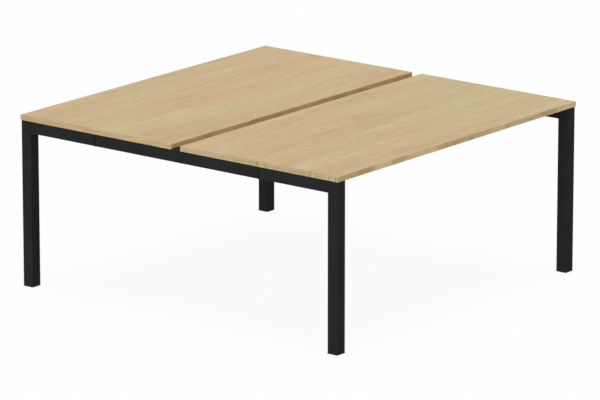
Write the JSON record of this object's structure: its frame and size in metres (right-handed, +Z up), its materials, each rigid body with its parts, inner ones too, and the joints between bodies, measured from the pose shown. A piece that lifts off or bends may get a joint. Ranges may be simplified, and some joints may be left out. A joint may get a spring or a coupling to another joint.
{
  "type": "benching desk",
  "caption": "Back-to-back benching desk: paired wood-effect worktops with a cable gap between them, on a demountable square-tube steel frame with levelling feet.",
  "frame": {"origin": "on the floor under the centre of the desk", "axes": "+X along the worktops, +Y across them from the front user to the rear user, +Z up"},
  "size_m": [1.6, 1.65, 0.73],
  "materials": {
    "oak_board": "matt wood-effect face",
    "oak_edge": "matt wood-effect edge band",
    "black_steel": "matt black powder coat",
    "black_plastic": "moulded",
    "zinc_steel": "bright zinc"
  },
  "bodies": {
    "desk": {"front_top_board": "oak_board", "front_top_front_edge": "oak_edge", "front_top_inner_edge": "oak_edge", "front_top_left_edge": "oak_edge", "front_top_right_edge": "oak_edge", "rear_top_board": "oak_board", "rear_top_rear_edge": "oak_edge", "rear_top_inner_edge": "oak_edge", "rear_top_left_edge": "oak_edge", "rear_top_right_edge": "oak_edge", "front_left_leg": "black_steel", "front_left_arm": "black_steel", "front_left_joiner": "black_steel", "front_right_leg": "black_steel", "front_right_arm": "black_steel", "front_right_joiner": "black_steel", "rear_left_leg": "black_steel", "rear_left_arm": "black_steel", "rear_left_joiner": "black_steel", "rear_right_leg": "black_steel", "rear_right_arm": "black_steel", "rear_right_joiner": "black_steel", "left_centre_beam": "black_steel", "right_centre_beam": "black_steel", "front_inner_rail": "black_steel", "front_inner_rail_left_plate": "black_steel", "front_inner_rail_right_plate": "black_steel", "front_outer_rail": "black_steel", "front_outer_rail_left_plate": "black_steel", "front_outer_rail_right_plate": "black_steel", "rear_inner_rail": "black_steel", "rear_inner_rail_left_plate": "black_steel", "rear_inner_rail_right_plate": "black_steel", "rear_outer_rail": "black_steel", "rear_outer_rail_left_plate": "black_steel", "rear_outer_rail_right_plate": "black_steel", "front_left_leg_plug": "black_plastic", "front_left_foot_nut": "zinc_steel", "front_right_leg_plug": "black_plastic", "front_right_foot_nut": "zinc_steel", "rear_left_leg_plug": "black_plastic", "rear_left_foot_nut": "zinc_steel", "rear_right_leg_plug": "black_plastic", "rear_right_foot_nut": "zinc_steel"},
    "front_left_pad": {"front_left_foot_pad": "black_plastic"},
    "front_left_stud": {"front_left_foot_stud": "zinc_steel"},
    "front_right_pad": {"front_right_foot_pad": "black_plastic"},
    "front_right_stud": {"front_right_foot_stud": "zinc_steel"},
    "rear_left_pad": {"rear_left_foot_pad": "black_plastic"},
    "rear_left_stud": {"rear_left_foot_stud": "zinc_steel"},
    "rear_right_pad": {"rear_right_foot_pad": "black_plastic"},
    "rear_right_stud": {"rear_right_foot_stud": "zinc_steel"}
  },
  "joints": [
    {"name": "front_left_foot_travel", "type": "slide", "parent": "desk", "child": "front_left_pad", "axis": [0, 0, -1], "range_m": [0, 0.015]},
    {"name": "front_left_foot_turn", "type": "hinge", "parent": "front_left_pad", "child": "front_left_stud", "pos_m": [-0.7735, -0.797, 0.03], "axis": [0, 0, -1], "range_deg": [0, 4320]},
    {"name": "front_right_foot_travel", "type": "slide", "parent": "desk", "child": "front_right_pad", "axis": [0, 0, -1], "range_m": [0, 0.015]},
    {"name": "front_right_foot_turn", "type": "hinge", "parent": "front_right_pad", "child": "front_right_stud", "pos_m": [0.7735, -0.797, 0.03], "axis": [0, 0, -1], "range_deg": [0, 4320]},
    {"name": "rear_left_foot_travel", "type": "slide", "parent": "desk", "child": "rear_left_pad", "axis": [0, 0, -1], "range_m": [0, 0.015]},
    {"name": "rear_left_foot_turn", "type": "hinge", "parent": "rear_left_pad", "child": "rear_left_stud", "pos_m": [-0.7735, 0.797, 0.03], "axis": [0, 0, -1], "range_deg": [0, 4320]},
    {"name": "rear_right_foot_travel", "type": "slide", "parent": "desk", "child": "rear_right_pad", "axis": [0, 0, -1], "range_m": [0, 0.015]},
    {"name": "rear_right_foot_turn", "type": "hinge", "parent": "rear_right_pad", "child": "rear_right_stud", "pos_m": [0.7735, 0.797, 0.03], "axis": [0, 0, -1], "range_deg": [0, 4320]}
  ],
  "couplings": [
    {"joint": "front_left_foot_turn", "follows": "front_left_foot_travel", "rad_per_m": 5026.5},
    {"joint": "front_right_foot_turn", "follows": "front_right_foot_travel", "rad_per_m": 5026.5},
    {"joint": "rear_left_foot_turn", "follows": "rear_left_foot_travel", "rad_per_m": 5026.5},
    {"joint": "rear_right_foot_turn", "follows": "rear_right_foot_travel", "rad_per_m": 5026.5}
  ]
}
